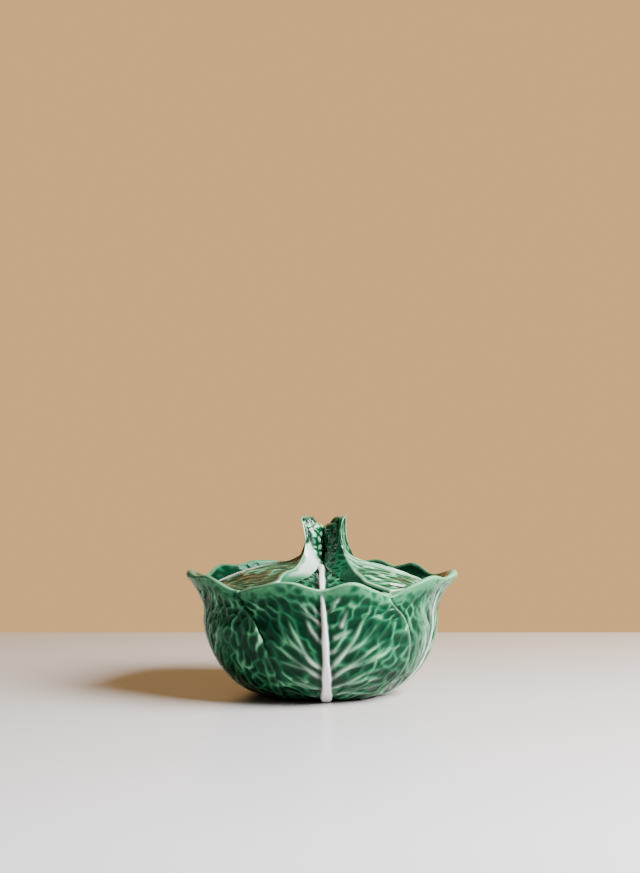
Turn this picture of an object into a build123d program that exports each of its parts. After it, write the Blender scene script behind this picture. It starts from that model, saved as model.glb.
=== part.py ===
from build123d import *
import math
import os

# A leaf-sided soup tureen in glazed earthenware, in millimetres.
# The origin is the centre of the foot, +Z is up, +X is right and -Y is the front.
# Four overlapping leaves make the bowl's wall.  The lid's dome seats on a ledge inside the rim.
# Two more leaves lie on the dome, and rise back to back at its centre as the handle.
# Angles run from the front, and are positive towards the right.

# Bowl
FOOT_RADIUS = 50.0
FOOT_INNER_RADIUS = 42.0
FOOT_RECESS = 2.5
BELLY_RADIUS = 105.0
FLARE_START = 74.0
FLARE_POWER = 1.6
RIM_THICKNESS = 4.4
RIM_ROUNDING = 1.3
FLOOR_TOP = 8.0
FLOOR_RADIUS = 40.0
SEAT_HEIGHT = 91.0
SEAT_OUTER_RADIUS = 98.0
SEAT_INNER_RADIUS = 88.0
FLARE_PARTS = (0.2, 0.4, 0.6, 0.8, 1.0)
RIM_INSIDE_PARTS = (1.0, 0.66, 0.33, 0.0)

# Lid
LID_RADIUS = 94.0
LID_EDGE_TOP = 95.0
DOME_TOP = 115.5
DOME_POWER = 2.2
DOME_THICKNESS = 4.5
DOME_CAP_RADIUS = 12.0
DOME_RADII = (88, 75, 60, 45, 30, 20)
UNDERSIDE_RADII = (79, 68, 54, 40)
EDGE_INSET = 1.0
EDGE_BULGE = 0.4
FLANGE_OUTER_RADIUS = 86.5
FLANGE_INNER_RADIUS = 82.5
FLANGE_BOTTOM = 84.0
FLANGE_TOP = 90.0

# Leaves
RIB_HEIGHT = 1.5
RIB_HALF_WIDTH = (5.0, 2.2)
RIB_RISE = 100.0
RIB_LEAN = 5.0
CROWN_FADE = 20.0
EDGE_FADE = 6.0
FOOT_FADE = 8.0
OVERLAP_STEP = 1.4
OVERLAP_FADE = 14.0
LEAF_THICKNESS = 3.6
LEAF_BEDDING = 0.3
LEAF_CURL_POWER = 1.8
HANDLE_SPLIT_X = 1.6
RIGHT_LEAF_REACH = 1.0
LEFT_LEAF_REACH = 0.9

RING_POINTS = 180
LEAF_COLUMNS = 25
LEAF_ROW_STEPS = 3
LEAF_TOLERANCE = 0.05

# Outside of the bowl below its flare, as (radius, height)
BELLY = [(FOOT_RADIUS, 0), (61, 2), (73, 8), (84, 17), (92.5, 27), (99, 39), (103.2, 52), (105, 64),
         (BELLY_RADIUS, FLARE_START)]

# Inside of the bowl, from its ledge to its floor, as (radius, height)
INSIDE = [(SEAT_INNER_RADIUS, SEAT_HEIGHT), (88.6, 86.5), (93, 80), (98.5, 71), (99.8, 63), (98, 52),
          (93.8, 40), (87.4, 29), (79, 19.8), (67, 12.6), (54, 9.2), (FLOOR_RADIUS, FLOOR_TOP)]

# Ruffled rim of the bowl, as (angle, height, radius)
RIM = [(-180, 103, 112), (-164, 107, 116), (-146, 110, 118), (-137, 107, 118), (-127, 108.5, 121),
       (-110, 101, 115), (-97, 107, 120), (-87, 110, 122), (-73, 107, 117), (-61, 108.5, 113.5),
       (-45, 98, 105.6), (-29, 104, 110), (-14, 109, 114.5), (0, 102, 108), (13, 108, 113.5),
       (25, 100, 107), (36, 94.5, 103.5), (46, 103, 110), (56, 109, 115.5), (69, 106.5, 117.5),
       (86, 110, 122), (102, 106, 121), (117, 101, 118), (133, 108.5, 121.5), (142, 105, 117),
       (152, 110.5, 118), (166, 106, 114)]

# Where one wall leaf laps over the next, as angles at the (foot, belly, rim)
LAPS = [(-29, -25, -42), (36, 49, 35), (146, 154, 142), (-130, -122, -138)]
LAP_HEIGHTS = (5.0, 50.0, 100.0)
WALL_RIBS = (-90, 0, 90, 180)

# Part of a handle leaf that lies on the dome, from the lid's edge towards the handle, as
# (radius on its rib, radius on its margin, half angle)
LEAF_FLAT_OUTER_ROWS = [(93.5, 93.5, 52), (81, 84, 58.4), (70, 77, 61.8), (59, 69.3, 60), (48, 59, 58.5)]
LEAF_FLAT_INNER_ROWS = [(93.5, 93.5, 52), (81, 84, 58.8), (70, 79, 63), (59, 75, 70), (48, 68, 75.5)]

# Rising part of the right leaf, outer face: (rib point, front margin point, back margin point)
LEAF_OUTER_ROWS = [
    ((38, 0, 116.8), (29, -45, 113.9), (31, 45, 113.9)),
    ((30, 0, 119.3), (26.5, -35.5, 117.5), (30, 36, 118)),
    ((22.5, 0, 123.3), (23.8, -28.5, 122.5), (28.5, 30, 123)),
    ((15.5, 0, 129), (21.2, -24.5, 129.5), (26, 26, 129.5)),
    ((10.3, 0, 136), (19, -22, 137), (24, 23, 136.5)),
    ((7.6, 0, 144), (17.6, -20, 144.5), (23, 20.5, 144)),
    ((8.5, 0, 151), (18, -19, 151), (23, 18.5, 150.5)),
    ((12, 0, 155.5), (19.3, -16.5, 155.5), (23, 16, 155.2)),
    ((19, 0, 158), (21.5, -12.5, 157.8), (22.5, 12.5, 157.8)),
]

# Rising part of the right leaf, inner face.  Rows without a height are the root on the dome.
LEAF_INNER_ROWS = [
    ((37, 0, None), (12.5, -59, None), (14, 58, None)),
    ((28, 0, None), (9, -51, None), (11, 50, None)),
    ((20, 0, None), (6.5, -43, None), (8.5, 42, None)),
    ((12, 0, None), (4.9, -34, None), (6.5, 33, None)),
    ((4.2, 0, None), (4.2, -24, None), (5.5, 24, None)),
    ((2.6, 0, 126), (5.5, -13, 124), (9, 15, 124)),
    ((2.4, 0, 136), (9, -14.5, 137), (13, 16.5, 137)),
    ((2.6, 0, 147), (12, -16, 148), (16, 16, 148)),
    ((13.5, 0, 154.6), (19, -12, 154.6), (20, 12, 154.8)),
]

# Front margin of the left leaf's outer face, which takes the place of the back margin above because
# that leaf is the right one turned half round
LEFT_FRONT_MARGIN = [(30.6, 46, 113.9), (25.9, 36.5, 117.7), (22.7, 29.5, 122.7), (20.4, 25, 129.5),
                     (20, 22, 136.5), (20.5, 20, 144), (21.8, 18.5, 150.5), (23.4, 16, 155.2),
                     (22.8, 12.5, 157.8)]
LEFT_OUTER_ROWS = [(rib, front, margin)
                   for (rib, front, _), margin in zip(LEAF_OUTER_ROWS, LEFT_FRONT_MARGIN)]


def blend_points(points, at, column):
    """Value of a column at a place along points, by a smooth curve through them."""
    last = len(points) - 1
    index = min(max(i for i in range(last) if points[i][0] <= at), last - 1)
    before, low, high, after = (points[max(0, min(last, index + k))] for k in (-1, 0, 1, 2))
    span = high[0] - low[0]
    part = (at - low[0]) / span
    slope_low = (high[column] - before[column]) / (high[0] - before[0])
    slope_high = (after[column] - low[column]) / (after[0] - low[0])
    part_2 = part * part
    part_3 = part_2 * part
    return (low[column] * (2 * part_3 - 3 * part_2 + 1)
            + high[column] * (3 * part_2 - 2 * part_3)
            + slope_low * span * (part_3 - 2 * part_2 + part)
            + slope_high * span * (part_3 - part_2))


def wrapped(angle):
    """The same angle, from -180 up to 180."""
    return (angle + 180) % 360 - 180


def at_angle(angle, radius, height):
    """Point at an angle from the front."""
    turn = math.radians(angle)
    return Vector(radius * math.sin(turn), -radius * math.cos(turn), height)


def rim_at(angle):
    """Height and radius of the rim's crest at an angle."""
    ring = [(row[0] - 360, row[1], row[2]) for row in RIM[-2:]]
    ring += RIM
    ring += [(row[0] + 360, row[1], row[2]) for row in RIM[:2]]
    return blend_points(ring, angle, 1), blend_points(ring, angle, 2)


def leaf_relief(angle, radius, height):
    """How far the wall stands out at its ribs and its overlapping leaf margins."""
    rise = min(1.0, height / RIB_RISE)
    width = RIB_HALF_WIDTH[0] + (RIB_HALF_WIDTH[1] - RIB_HALF_WIDTH[0]) * rise
    relief = 0.0
    for centre in WALL_RIBS:
        turn = wrapped(angle - centre - RIB_LEAN * (1 - rise))
        distance = math.radians(turn) * radius
        relief += RIB_HEIGHT * math.exp(-((distance / width) ** 2))
    for lap in LAPS:
        places = list(zip(LAP_HEIGHTS, lap))
        held = min(max(height, LAP_HEIGHTS[0]), LAP_HEIGHTS[-1])
        turn = wrapped(angle - blend_points(places, held, 1))
        if turn <= 0:
            relief += OVERLAP_STEP * math.exp(turn / OVERLAP_FADE)
    return relief * min(1.0, height / FOOT_FADE)


def ring_edge(place):
    """Closed smooth edge through place(angle), all the way round."""
    step = 360 / RING_POINTS
    return Edge.make_spline([place(-180 + step * k) for k in range(RING_POINTS)], periodic=True)


def ring_loft(places):
    """Faces of a smooth skin over rings."""
    return Shell.make_loft([Wire([ring_edge(place)]) for place in places]).faces()


def belly_ring(radius, height):
    """Ring of the bowl's outside below its flare."""
    return lambda angle: at_angle(angle, radius + leaf_relief(angle, radius, height), height)


def flare_ring(part):
    """Ring of the bowl's outside between the belly (0) and the rim (1)."""
    def place(angle):
        top, radius = rim_at(angle)
        height = FLARE_START + (top - RIM_ROUNDING - FLARE_START) * part
        out = BELLY_RADIUS + (radius - BELLY_RADIUS) * part ** FLARE_POWER
        return at_angle(angle, out + leaf_relief(angle, out, height) * (1 - part), height)
    return place


def lip_ring(inset, drop):
    """Ring of the rounded rim, moved in and down from its crest."""
    def place(angle):
        top, radius = rim_at(angle)
        return at_angle(angle, radius - inset, top - drop)
    return place


def rim_inside_ring(part):
    """Ring of the rim's inside between the ledge (0) and the lip (1)."""
    def place(angle):
        top, radius = rim_at(angle)
        out = SEAT_OUTER_RADIUS + (radius - RIM_THICKNESS - SEAT_OUTER_RADIUS) * part
        return at_angle(angle, out, SEAT_HEIGHT + (top - RIM_ROUNDING - SEAT_HEIGHT) * part)
    return place


def circle_wire(radius, height):
    """Level circle about the axis."""
    return Wire([Edge.make_circle(radius, Plane.XY.offset(height))])


def turned(points):
    """Face turned about the axis from a smooth line through (radius, height) points."""
    return Face.revolve(Edge.make_spline([(r, 0, z) for r, z in points]), 360, Axis.Z)


def cylinder_face(radius, low, high):
    """Upright face about the axis."""
    return Face.revolve(Edge.make_line((radius, 0, low), (radius, 0, high)), 360, Axis.Z)


def closed_solid(faces):
    """Solid inside the faces, once they are sewn together."""
    solid = Solid(Shell(faces))
    if solid.volume < 0:
        solid = Solid(Shell([-face for face in solid.faces()]))
    return solid


def make_bowl():
    """Bowl with its leafy wall, ruffled rim, inner ledge and foot ring."""
    outside = [belly_ring(r, z) for r, z in BELLY]
    outside += [flare_ring(part) for part in FLARE_PARTS]
    lip = [lip_ring(0, RIM_ROUNDING), lip_ring(RIM_THICKNESS / 2, 0), lip_ring(RIM_THICKNESS, RIM_ROUNDING)]
    rim_inside = [rim_inside_ring(part) for part in RIM_INSIDE_PARTS]
    faces = ring_loft(outside) + ring_loft(lip) + ring_loft(rim_inside)
    faces.append(Face(Wire([ring_edge(rim_inside_ring(0.0))]),
                      [circle_wire(SEAT_INNER_RADIUS, SEAT_HEIGHT)]))
    faces.append(turned(INSIDE))
    faces.append(Face(circle_wire(FLOOR_RADIUS, FLOOR_TOP)))
    faces.append(Face(Wire([ring_edge(belly_ring(*BELLY[0]))]), [circle_wire(FOOT_INNER_RADIUS, 0)]))
    faces.append(cylinder_face(FOOT_INNER_RADIUS, 0, FOOT_RECESS))
    faces.append(Face(circle_wire(FOOT_INNER_RADIUS, FOOT_RECESS)))
    return closed_solid(faces)


def dome_height(radius):
    """Height of the lid's dome."""
    return DOME_TOP - (DOME_TOP - LID_EDGE_TOP) * (radius / LID_RADIUS) ** DOME_POWER


def dome_ring(radius):
    """Ring of the dome's top, with the ribs of its front and back leaves."""
    def place(angle):
        relief = 0.0
        for centre in (0, 180):
            distance = math.radians(wrapped(angle - centre)) * radius
            relief += RIB_HEIGHT * math.exp(-((distance / RIB_HALF_WIDTH[1]) ** 2))
        fade = min(1.0, (radius - DOME_CAP_RADIUS) / CROWN_FADE, (LID_RADIUS - radius) / EDGE_FADE)
        return at_angle(angle, radius, dome_height(radius) + relief * fade)
    return place


def plain_ring(radius, height):
    """Level ring without relief."""
    return lambda angle: at_angle(angle, radius, height)


def make_lid_dome():
    """Lid shell with its rounded edge and the flange that locates it in the bowl."""
    edge_middle = (SEAT_HEIGHT + LID_EDGE_TOP) / 2
    edge = [plain_ring(LID_RADIUS - EDGE_INSET, SEAT_HEIGHT),
            plain_ring(LID_RADIUS + EDGE_BULGE, edge_middle), dome_ring(LID_RADIUS)]
    top = [dome_ring(radius) for radius in (LID_RADIUS, *DOME_RADII, DOME_CAP_RADIUS)]
    faces = ring_loft(edge) + ring_loft(top)
    faces.append(Face(Wire([ring_edge(dome_ring(DOME_CAP_RADIUS))])))
    faces.append(Face(Wire([ring_edge(plain_ring(LID_RADIUS - EDGE_INSET, SEAT_HEIGHT))]),
                      [circle_wire(FLANGE_OUTER_RADIUS, SEAT_HEIGHT)]))
    faces.append(cylinder_face(FLANGE_OUTER_RADIUS, FLANGE_BOTTOM, SEAT_HEIGHT))
    faces.append(Face(circle_wire(FLANGE_OUTER_RADIUS, FLANGE_BOTTOM),
                      [circle_wire(FLANGE_INNER_RADIUS, FLANGE_BOTTOM)]))
    under = [(FLANGE_INNER_RADIUS, FLANGE_BOTTOM), (FLANGE_INNER_RADIUS, FLANGE_TOP)]
    under += [(r, dome_height(r) - DOME_THICKNESS) for r in (*UNDERSIDE_RADII, DOME_CAP_RADIUS)]
    faces.append(turned(under))
    faces.append(Face(circle_wire(DOME_CAP_RADIUS, under[-1][1])))
    return closed_solid(faces)


def flat_leaf_point(turn, row, across, lift):
    """Point of the part of a leaf that lies on the dome."""
    rib_radius, margin_radius, half_angle = row
    radius = rib_radius + (margin_radius - rib_radius) * across ** 2
    rib = RIB_HEIGHT if across == 0 and lift > 0 else 0.0
    return at_angle(turn + 90 + half_angle * across, radius, dome_height(radius) + lift + rib)


def rising_leaf_point(turn, reach, row, across):
    """Point of the part of a leaf that rises as half of the handle."""
    rib, front, back = row
    margin = front if across < 0 else back
    out = abs(across)
    curl = out ** LEAF_CURL_POWER
    side = 1 if turn == 0 else -1
    x = HANDLE_SPLIT_X + side * reach * (rib[0] + (margin[0] - rib[0]) * curl - HANDLE_SPLIT_X)
    y = side * margin[1] * out
    if rib[2] is None:
        return Vector(x, y, dome_height(math.hypot(x, y)) - LEAF_BEDDING)
    return Vector(x, y, rib[2] + (margin[2] - rib[2]) * curl)


def refined(grid):
    """The grid's rows with smooth rows added between them."""
    rows = []
    last = len(grid) - 1
    for index in range(last):
        around = [grid[max(0, min(last, index + k))] for k in (-1, 0, 1, 2)]
        for step in range(LEAF_ROW_STEPS):
            part = step / LEAF_ROW_STEPS
            weights = (-0.5 * part ** 3 + part ** 2 - 0.5 * part, 1.5 * part ** 3 - 2.5 * part ** 2 + 1,
                       -1.5 * part ** 3 + 2 * part ** 2 + 0.5 * part, 0.5 * part ** 3 - 0.5 * part ** 2)
            rows.append([sum((point * weight for point, weight in zip(column, weights)), Vector())
                         for column in zip(*around)])
    return rows + [grid[last]]


def leaf_face(turn, reach, flat_rows, rising_rows, lift):
    """Smooth face over one side of a handle leaf."""
    places = [-1 + 2 * k / (LEAF_COLUMNS - 1) for k in range(LEAF_COLUMNS)]
    grid = [[flat_leaf_point(turn, row, across, lift) for across in places] for row in flat_rows]
    grid += [[rising_leaf_point(turn, reach, row, across) for across in places] for row in rising_rows]
    return Face.make_surface_from_array_of_points(refined(grid), tol=LEAF_TOLERANCE)


def make_handle_leaf(turn, reach, outer_rows):
    """One leaf of the lid, flat on the dome and then rising as half of the handle."""
    outer = leaf_face(turn, reach, LEAF_FLAT_OUTER_ROWS, outer_rows, LEAF_THICKNESS)
    inner = leaf_face(turn, reach, LEAF_FLAT_INNER_ROWS, LEAF_INNER_ROWS, -LEAF_BEDDING)
    faces = [outer, inner]
    for edge in outer.edges():
        partner = min(inner.edges(), key=lambda other: (other @ 0.5 - edge @ 0.5).length)
        faces.append(Face.make_surface_from_curves(edge, partner))
    return closed_solid(faces)


os.makedirs("parts", exist_ok=True)
export_step(make_bowl(), "parts/bowl.step")
export_step(make_lid_dome(), "parts/lid_dome.step")
export_step(make_handle_leaf(0, RIGHT_LEAF_REACH, LEAF_OUTER_ROWS), "parts/lid_leaf_right.step")
export_step(make_handle_leaf(180, LEFT_LEAF_REACH, LEFT_OUTER_ROWS), "parts/lid_leaf_left.step")
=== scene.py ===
import math

import bpy
import numpy as np
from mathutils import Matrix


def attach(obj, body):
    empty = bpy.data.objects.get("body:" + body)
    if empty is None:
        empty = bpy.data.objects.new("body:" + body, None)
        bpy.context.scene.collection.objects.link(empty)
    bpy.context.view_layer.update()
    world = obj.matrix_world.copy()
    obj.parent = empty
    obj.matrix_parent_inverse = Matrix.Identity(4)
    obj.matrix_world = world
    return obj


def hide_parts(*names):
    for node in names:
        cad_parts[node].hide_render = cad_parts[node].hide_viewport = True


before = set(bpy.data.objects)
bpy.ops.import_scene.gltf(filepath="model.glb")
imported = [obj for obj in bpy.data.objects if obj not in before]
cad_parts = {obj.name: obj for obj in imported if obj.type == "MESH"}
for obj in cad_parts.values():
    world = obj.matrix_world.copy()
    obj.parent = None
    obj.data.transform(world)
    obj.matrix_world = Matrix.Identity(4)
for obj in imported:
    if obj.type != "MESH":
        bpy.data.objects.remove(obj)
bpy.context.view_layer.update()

# A leaf-sided soup tureen.  Shapes are worked out in millimetres and stored in metres.
# Angles run from the front (-Y) and are positive towards the right (+X), as in the CAD model.
# A leaf's own coordinates are its distance across from its midrib and along from its base.

MM = 0.001
DEGREES = 57.3
TURNED_SEGMENTS = 240

# Bowl, as in the CAD model
BELLY = [(50, 0), (61, 2), (73, 8), (84, 17), (92.5, 27), (99, 39), (103.2, 52), (105, 64), (105, 74)]
INSIDE = [(88, 91), (88.6, 86.5), (93, 80), (98.5, 71), (99.8, 63), (98, 52), (93.8, 40),
          (87.4, 29), (79, 19.8), (67, 12.6), (54, 9.2), (40, 8), (20, 8), (0.01, 8)]
RIM = [(-180, 103, 112), (-164, 107, 116), (-146, 110, 118), (-137, 107, 118), (-127, 108.5, 121),
       (-110, 101, 115), (-97, 107, 120), (-87, 110, 122), (-73, 107, 117), (-61, 108.5, 113.5),
       (-45, 98, 105.6), (-29, 104, 110), (-14, 109, 114.5), (0, 102, 108), (13, 108, 113.5),
       (25, 100, 107), (36, 94.5, 103.5), (46, 103, 110), (56, 109, 115.5), (69, 106.5, 117.5),
       (86, 110, 122), (102, 106, 121), (117, 101, 118), (133, 108.5, 121.5), (142, 105, 117),
       (152, 110.5, 118), (166, 106, 114)]
LAPS = {"front": (-29, -25, -42), "right": (36, 49, 35), "back": (146, 154, 142), "left": (-130, -122, -138)}
LAP_PLACES = (4.0, 62.0, 136.0)

# Side veins of the front leaf: across and along at the start, first and last heading, length,
# strength and number of forks
FRONT_VEINS = [
    (0, 57, -50, -10, 62, 1.0, 1), (0, 83, -58, -8, 30, 0.95, 0), (0, 45, -48, -52, 60, 0.85, 1),
    (0, 97, -44, -14, 37, 0.7, 1), (0, 31, -70, -48, 52, 0.65, 1), (0, 19, -78, -66, 48, 0.55, 0),
    (0, 109, -38, -20, 26, 0.5, 0), (-17, 45, -62, -40, 14, 0.6, 0),
    (0, 56, 44, 22, 78, 1.0, 1), (0, 44, 46, 62, 74, 1.0, 1), (22, 63, 78, 44, 42, 0.8, 0),
    (0, 31, 48, 74, 62, 0.9, 1), (0, 98, 90, 88, 8, 0.9, 0), (8, 88, 62, 50, 19, 0.85, 0),
    (3, 75, 68, 64, 13, 0.8, 0), (14, 98, 24, 20, 21, 0.8, 0), (11, 126, 30, 24, 14, 0.6, 0),
    (0, 19, 62, 72, 50, 0.65, 1), (0, 112, 40, 26, 22, 0.5, 0),
]
BELLY_RADIUS = 105.0
FLARE_START = 74.0
FLARE_LENGTH = 42.0
FLARE_POWER = 1.6
SEAT_HEIGHT = 91.0
SEAT_OUTER_RADIUS = 98.0
RIM_HALF_THICKNESS = 2.1
TIP_EXTRA = 2.5
TIP_ANGLE = 87
TIP_SPREAD = 9.0
LIP_CREST = 70.0
LIP_SPREAD = 42
FOOT_INNER_RADIUS = 42.0
FOOT_RECESS = 2.5

# Lid, as in the CAD model
LID_RADIUS = 94.0
LID_EDGE_TOP = 95.0
DOME_TOP = 115.5
DOME_POWER = 2.2
DOME_THICKNESS = 4.5
LEAF_THICKNESS = 3.6
LEAF_BEDDING = 0.3
LEAF_CURL_POWER = 1.8
HANDLE_SPLIT_X = 1.6
LEAF_FLAT_OUTER_ROWS = [(93.5, 93.5, 52), (81, 84, 58.4), (70, 77, 61.8), (59, 69.3, 60), (48, 59, 58.5)]
LEAF_FLAT_INNER_ROWS = [(93.5, 93.5, 52), (81, 84, 58.8), (70, 79, 63), (59, 75, 70), (48, 68, 75.5)]
LEAF_OUTER_ROWS = [
    ((38, 0, 116.8), (29, -45, 113.9), (31, 45, 113.9)),
    ((30, 0, 119.3), (26.5, -35.5, 117.5), (30, 36, 118)),
    ((22.5, 0, 123.3), (23.8, -28.5, 122.5), (28.5, 30, 123)),
    ((15.5, 0, 129), (21.2, -24.5, 129.5), (26, 26, 129.5)),
    ((10.3, 0, 136), (19, -22, 137), (24, 23, 136.5)),
    ((7.6, 0, 144), (17.6, -20, 144.5), (23, 20.5, 144)),
    ((8.5, 0, 151), (18, -19, 151), (23, 18.5, 150.5)),
    ((12, 0, 155.5), (19.3, -16.5, 155.5), (23, 16, 155.2)),
    ((19, 0, 158), (21.5, -12.5, 157.8), (22.5, 12.5, 157.8)),
]
LEAF_INNER_ROWS = [
    ((37, 0, None), (12.5, -59, None), (14, 58, None)),
    ((28, 0, None), (9, -51, None), (11, 50, None)),
    ((20, 0, None), (6.5, -43, None), (8.5, 42, None)),
    ((12, 0, None), (4.9, -34, None), (6.5, 33, None)),
    ((2.3, 0, None), (4, -24, None), (5.5, 24, None)),
    ((2.0, 0, 126), (5.5, -13, 124), (9, 15, 124)),
    ((1.9, 0, 136), (9, -14.5, 137), (13, 16.5, 137)),
    ((2.2, 0, 147), (12, -16, 148), (16, 16, 148)),
    ((13.5, 0, 154.6), (19, -12, 154.6), (20, 12, 154.8)),
]

# Front margin of the left leaf, which stands narrower than the right leaf's back margin that it mirrors
LEFT_FRONT_MARGIN = [(30.6, 46, 113.9), (25.9, 36.5, 117.7), (22.7, 29.5, 122.7), (20.4, 25, 129.5),
                     (20, 22, 136.5), (20.5, 20, 144), (21.8, 18.5, 150.5), (23.4, 16, 155.2),
                     (22.8, 12.5, 157.8)]


def smooth(low, high, value):
    """0 below low, 1 above high, and a smooth step between."""
    part = np.clip((value - low) / (high - low), 0.0, 1.0)
    return part * part * (3 - 2 * part)


def curve(places, values, at):
    """Smooth curve through the values at places, the same one as in the CAD model."""
    places, values = np.array(places, float), np.array(values, float)
    last = len(places) - 1
    at = np.asarray(at, float)
    index = np.clip(np.searchsorted(places, at, side="right") - 1, 0, last - 1)
    before = np.clip(index - 1, 0, last)
    after = np.clip(index + 2, 0, last)
    span = places[index + 1] - places[index]
    part = (at - places[index]) / span
    slope_low = (values[index + 1] - values[before]) / (places[index + 1] - places[before])
    slope_high = (values[after] - values[index]) / (places[after] - places[index])
    part_2 = part * part
    part_3 = part_2 * part
    return (values[index] * (2 * part_3 - 3 * part_2 + 1) + values[index + 1] * (3 * part_2 - 2 * part_3)
            + slope_low * span * (part_3 - 2 * part_2 + part) + slope_high * span * (part_3 - part_2))


def wrapped(angle):
    """The same angle in degrees, from -180 up to 180."""
    return (angle + 180) % 360 - 180


def polar(angle, radius, height):
    """Points at an angle from the front, stacked on a last axis."""
    turn, radius, height = np.broadcast_arrays(np.radians(angle), radius, height)
    return np.stack([radius * np.sin(turn), -radius * np.cos(turn), height], axis=-1)


def rim_at(angle):
    """Height and outer radius of the rim's crest."""
    ring = [(a - 360, z, r) for a, z, r in RIM[-2:]] + RIM + [(a + 360, z, r) for a, z, r in RIM[:3]]
    angles, heights, radii = np.array(ring, float).T
    at = wrapped(np.asarray(angle, float))
    return curve(angles, heights, at), curve(angles, radii, at)


def unit(vectors):
    """The vectors at length 1."""
    return vectors / np.maximum(np.linalg.norm(vectors, axis=-1, keepdims=True), 1e-9)


def sheet_normals(grid):
    """Unit normals of a grid of points, rows by columns."""
    along = np.gradient(grid, axis=0)
    across = np.gradient(grid, axis=1)
    return unit(np.cross(across, along))


def waves(random, across, along, size, count=6):
    """Smooth uneven field over a leaf, between about -1 and 1."""
    total = 0.0
    for _ in range(count):
        turn = random.uniform(0, 2 * math.pi)
        pitch = 2 * math.pi / (size * random.uniform(0.7, 1.5))
        phase = random.uniform(0, 6.28)
        total = total + np.sin(pitch * (across * math.cos(turn) + along * math.sin(turn)) + phase)
    return total / math.sqrt(count)


def pebbles(points, size, seed):
    """Distance to the nearest border between round cells in space, at each point."""
    flat = points.reshape(-1, 3)
    low = flat.min(axis=0) - size
    counts = np.ceil((flat.max(axis=0) + size - low) / size).astype(int)
    random = np.random.default_rng(seed)
    steps = [np.arange(count) for count in counts]
    cells = np.stack(np.meshgrid(*steps, indexing="ij"), axis=-1).reshape(-1, 3)
    centres = low + (cells + 0.5 + random.uniform(-0.4, 0.4, cells.shape)) * size
    found = np.zeros(len(flat))
    reach = 1.6 * size
    batch = 1500
    for first in range(0, len(flat), batch):
        part = flat[first:first + batch]
        inside = (centres > part.min(axis=0) - reach) & (centres < part.max(axis=0) + reach)
        near = centres[np.all(inside, axis=1)]
        distance = np.linalg.norm(part[:, None] - near[None], axis=2)
        closest = np.partition(distance, 1, axis=1)
        found[first:first + batch] = (closest[:, 1] - closest[:, 0]) / 2
    return found.reshape(points.shape[:-1])


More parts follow.
